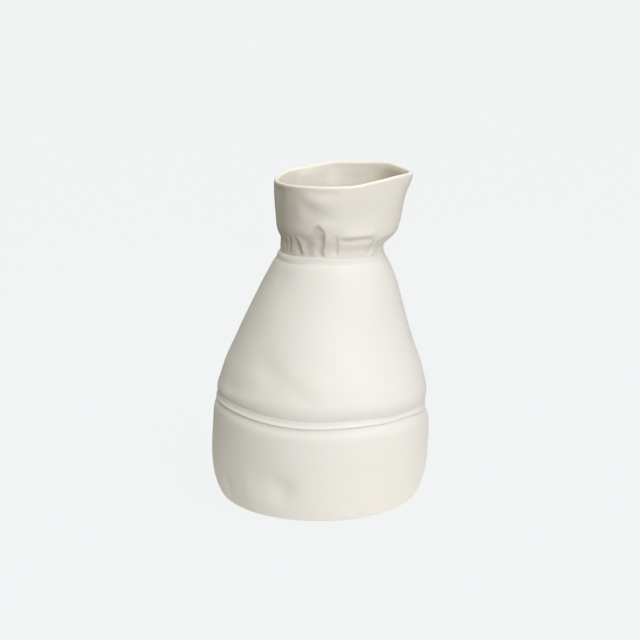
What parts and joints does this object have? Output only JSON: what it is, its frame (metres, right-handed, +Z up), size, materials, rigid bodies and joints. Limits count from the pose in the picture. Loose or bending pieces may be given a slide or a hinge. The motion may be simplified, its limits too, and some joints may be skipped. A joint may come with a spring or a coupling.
{
  "type": "pillow vase",
  "caption": "Flower vase in unglazed white porcelain shaped like stitched, puffed pillows, with a gathered neck and an uneven oval mouth.",
  "frame": {"origin": "on the ground under the middle of the vase's widest part", "axes": "+Z up through the mouth, -Y the front, +X to the right, towards which the neck leans"},
  "size_m": [0.1486, 0.1486, 0.2218],
  "materials": {
    "bisque": "satin unglazed porcelain, cream white, fine grain",
    "glaze": "clear glaze over white porcelain"
  },
  "bodies": {
    "root": {"base_floor": "bisque", "lower_band": "bisque", "lower_seam_welt": "bisque", "shoulder_cone": "bisque", "neck_seam_welt": "bisque", "gathered_collar": "bisque", "inner_glaze": "glaze"}
  },
  "joints": []
}
